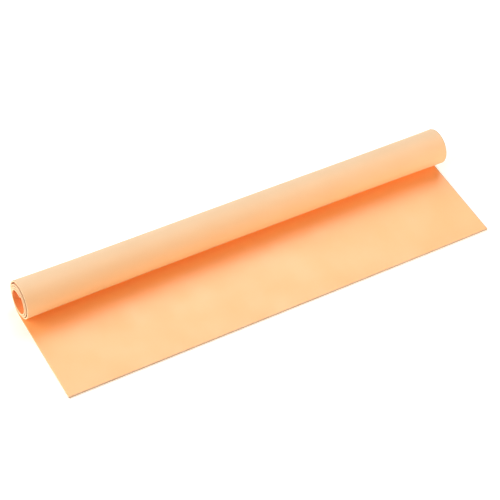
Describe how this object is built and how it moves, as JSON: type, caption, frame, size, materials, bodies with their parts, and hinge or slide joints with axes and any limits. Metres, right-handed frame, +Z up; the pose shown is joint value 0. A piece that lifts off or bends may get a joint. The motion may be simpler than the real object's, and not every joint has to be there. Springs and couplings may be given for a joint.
{
  "type": "craft foam sheet",
  "caption": "Flat sheet of closed-cell craft foam, rolled up from one end into an open-bored roll that rests on its own flat unrolled flap.",
  "frame": {"origin": "middle of the underside of the bounding box, level with the flap's underside", "axes": "+X along the roll, +Z up; the flat flap reaches towards -Y and the roll lies at the +Y side"},
  "size_m": [0.6058, 0.1576, 0.0496],
  "materials": {
    "craft_foam": "soft matt closed-cell foam, dyed through, pale apricot orange"
  },
  "bodies": {
    "root": {"foam_sheet": "craft_foam"}
  },
  "joints": []
}
